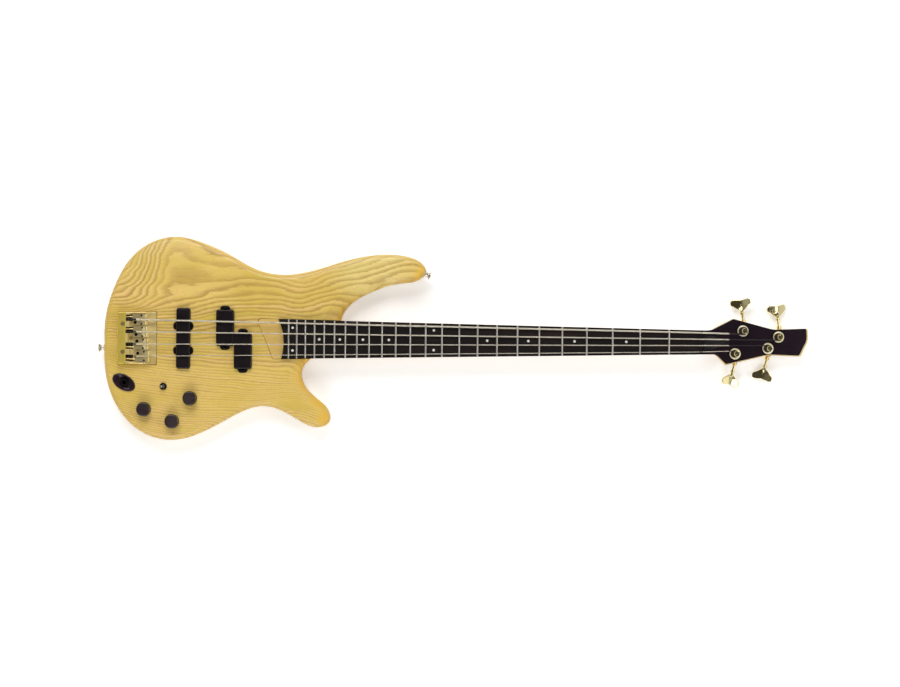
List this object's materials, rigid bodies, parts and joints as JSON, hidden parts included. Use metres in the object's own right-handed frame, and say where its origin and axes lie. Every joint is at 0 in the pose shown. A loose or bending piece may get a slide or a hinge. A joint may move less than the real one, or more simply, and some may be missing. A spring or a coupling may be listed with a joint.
{
  "type": "electric bass guitar",
  "caption": "Electric bass guitar: carved ash body with a long and a short horn, bolt-on fretted neck, cast bridge with sliding saddles, pickups, knobs and worm-driven tuning keys.",
  "frame": {"origin": "on the flat back of the body, under the point where the scale ends at the bridge on the centre line of the neck", "axes": "+X along the strings to the headstock, +Y to the bass side and the long horn, +Z out of the front"},
  "size_m": [1.1227, 0.3212, 0.0554],
  "materials": {
    "ash_body": "satin clear lacquer over light ash",
    "maple_neck": "satin oil over maple",
    "dark_fretboard": "oiled very dark hardwood",
    "nickel": "polished nickel",
    "white_inlay": "polished",
    "black_plastic": "satin moulded",
    "black_satin": "satin black",
    "black_gloss": "gloss black",
    "steel": "zinc plated",
    "gold": "gold plate, polished",
    "string_steel": "round wound",
    "coil": "wound wire",
    "felt_foam": "soft",
    "dark_metal": "black plated",
    "lead_sleeve": "insulated wire"
  },
  "bodies": {
    "instrument": {"black_screws": "dark_metal", "body": "ash_body", "bridge_pickup_coil": "coil", "bridge_pickup_cover": "black_plastic", "bridge_plate": "gold", "cavity_cover": "black_plastic", "control_nuts": "dark_metal", "fretboard": "dark_fretboard", "frets": "nickel", "gold_screws": "gold", "headstock_face": "black_gloss", "jack_cup": "black_gloss", "jack_socket": "steel", "leads": "lead_sleeve", "neck": "maple_neck", "neck_bolt_ferrules": "gold", "neck_bolts": "gold", "nut": "black_plastic", "pickup_foam": "felt_foam", "position_markers": "white_inlay", "potentiometers": "steel", "split_pickup_coil_bass": "coil", "split_pickup_coil_treble": "coil", "split_pickup_cover_bass": "black_plastic", "split_pickup_cover_treble": "black_plastic", "strap_buttons": "gold", "strap_felts": "felt_foam", "string_a": "string_steel", "string_d": "string_steel", "string_e": "string_steel", "string_g": "string_steel", "switch_body": "steel", "truss_rod": "steel", "truss_rod_cover": "black_plastic", "tuner_bushings": "gold", "tuner_housings": "gold"},
    "tuning_key_e": {"tuner_key_e": "gold"},
    "tuning_post_e": {"tuner_post_e": "gold"},
    "tuning_key_a": {"tuner_key_a": "gold"},
    "tuning_post_a": {"tuner_post_a": "gold"},
    "tuning_key_d": {"tuner_key_d": "gold"},
    "tuning_post_d": {"tuner_post_d": "gold"},
    "tuning_key_g": {"tuner_key_g": "gold"},
    "tuning_post_g": {"tuner_post_g": "gold"},
    "saddle_carriage_e": {"saddle_e": "gold"},
    "intonation_screw_e": {"intonation_screw_e": "gold"},
    "saddle_carriage_a": {"saddle_a": "gold"},
    "intonation_screw_a": {"intonation_screw_a": "gold"},
    "saddle_carriage_d": {"saddle_d": "gold"},
    "intonation_screw_d": {"intonation_screw_d": "gold"},
    "saddle_carriage_g": {"saddle_g": "gold"},
    "intonation_screw_g": {"intonation_screw_g": "gold"},
    "knob_1": {"knob_1": "black_satin", "pot_shaft_1": "steel"},
    "knob_2": {"knob_2": "black_satin", "pot_shaft_2": "steel"},
    "knob_3": {"knob_3": "black_satin", "pot_shaft_3": "steel"},
    "switch_lever": {"switch_lever": "nickel"}
  },
  "joints": [
    {"name": "tuning_key_turn_e", "type": "hinge", "parent": "instrument", "child": "tuning_key_e", "pos_m": [0.93723, 0.01974, 0.01318], "axis": [-0.1556, 0.9877, 0.0164], "continuous": true},
    {"name": "tuning_post_turn_e", "type": "hinge", "parent": "instrument", "child": "tuning_post_e", "pos_m": [0.93228, 0.0186, 0.03501], "axis": [0.1045, 0, 0.9945], "continuous": true},
    {"name": "tuning_key_turn_a", "type": "hinge", "parent": "instrument", "child": "tuning_key_a", "pos_m": [0.99414, 0.01042, 0.0072], "axis": [-0.1384, 0.9903, 0.0145], "continuous": true},
    {"name": "tuning_post_turn_a", "type": "hinge", "parent": "instrument", "child": "tuning_post_a", "pos_m": [0.98916, 0.0094, 0.02903], "axis": [0.1045, 0, 0.9945], "continuous": true},
    {"name": "tuning_key_turn_d", "type": "hinge", "parent": "instrument", "child": "tuning_key_d", "pos_m": [0.97705, -0.01059, 0.00899], "axis": [-0.2574, -0.9659, 0.0271], "continuous": true},
    {"name": "tuning_post_turn_d", "type": "hinge", "parent": "instrument", "child": "tuning_post_d", "pos_m": [0.97226, -0.0087, 0.03081], "axis": [0.1045, 0, 0.9945], "continuous": true},
    {"name": "tuning_key_turn_g", "type": "hinge", "parent": "instrument", "child": "tuning_key_g", "pos_m": [0.92477, -0.01927, 0.01449], "axis": [-0.2406, -0.9703, 0.0253], "continuous": true},
    {"name": "tuning_post_turn_g", "type": "hinge", "parent": "instrument", "child": "tuning_post_g", "pos_m": [0.91994, -0.0175, 0.03631], "axis": [0.1045, 0, 0.9945], "continuous": true},
    {"name": "intonation_screw_turn_e", "type": "hinge", "parent": "instrument", "child": "intonation_screw_e", "pos_m": [-0.053, 0.03314, 0.045], "axis": [1, 0, 0], "range_deg": [-2700, 2700]},
    {"name": "saddle_slide_e", "type": "slide", "parent": "instrument", "child": "saddle_carriage_e", "axis": [1, 0, 0], "range_m": [-0.0035, 0.0035]},
    {"name": "intonation_screw_turn_a", "type": "hinge", "parent": "instrument", "child": "intonation_screw_a", "pos_m": [-0.053, 0.01404, 0.045], "axis": [1, 0, 0], "range_deg": [-2700, 2700]},
    {"name": "saddle_slide_a", "type": "slide", "parent": "instrument", "child": "saddle_carriage_a", "axis": [1, 0, 0], "range_m": [-0.0035, 0.0035]},
    {"name": "intonation_screw_turn_d", "type": "hinge", "parent": "instrument", "child": "intonation_screw_d", "pos_m": [-0.053, -0.01403, 0.045], "axis": [1, 0, 0], "range_deg": [-2700, 2700]},
    {"name": "saddle_slide_d", "type": "slide", "parent": "instrument", "child": "saddle_carriage_d", "axis": [1, 0, 0], "range_m": [-0.0035, 0.0035]},
    {"name": "intonation_screw_turn_g", "type": "hinge", "parent": "instrument", "child": "intonation_screw_g", "pos_m": [-0.053, -0.03307, 0.045], "axis": [1, 0, 0], "range_deg": [-2700, 2700]},
    {"name": "saddle_slide_g", "type": "slide", "parent": "instrument", "child": "saddle_carriage_g", "axis": [1, 0, 0], "range_m": [-0.0035, 0.0035]},
    {"name": "knob_turn_1", "type": "hinge", "parent": "instrument", "child": "knob_1", "pos_m": [-0.0117, -0.1122, 0.04], "axis": [0, 0, 1], "range_deg": [-150, 150]},
    {"name": "knob_turn_2", "type": "hinge", "parent": "instrument", "child": "knob_2", "pos_m": [0.0329, -0.131, 0.04], "axis": [0, 0, 1], "range_deg": [-150, 150]},
    {"name": "knob_turn_3", "type": "hinge", "parent": "instrument", "child": "knob_3", "pos_m": [0.0609, -0.0945, 0.04], "axis": [0, 0, 1], "range_deg": [-150, 150]},
    {"name": "switch_throw", "type": "hinge", "parent": "instrument", "child": "switch_lever", "pos_m": [0.0187, -0.0761, 0.0412], "axis": [0, 1, 0], "range_deg": [0, 26]}
  ],
  "couplings": [
    {"joint": "tuning_post_turn_e", "follows": "tuning_key_turn_e", "ratio": 0.05},
    {"joint": "tuning_post_turn_a", "follows": "tuning_key_turn_a", "ratio": 0.05},
    {"joint": "tuning_post_turn_d", "follows": "tuning_key_turn_d", "ratio": 0.05},
    {"joint": "tuning_post_turn_g", "follows": "tuning_key_turn_g", "ratio": 0.05},
    {"joint": "intonation_screw_turn_e", "follows": "saddle_slide_e", "rad_per_m": -12566},
    {"joint": "intonation_screw_turn_a", "follows": "saddle_slide_a", "rad_per_m": -12566},
    {"joint": "intonation_screw_turn_d", "follows": "saddle_slide_d", "rad_per_m": -12566},
    {"joint": "intonation_screw_turn_g", "follows": "saddle_slide_g", "rad_per_m": -12566}
  ]
}
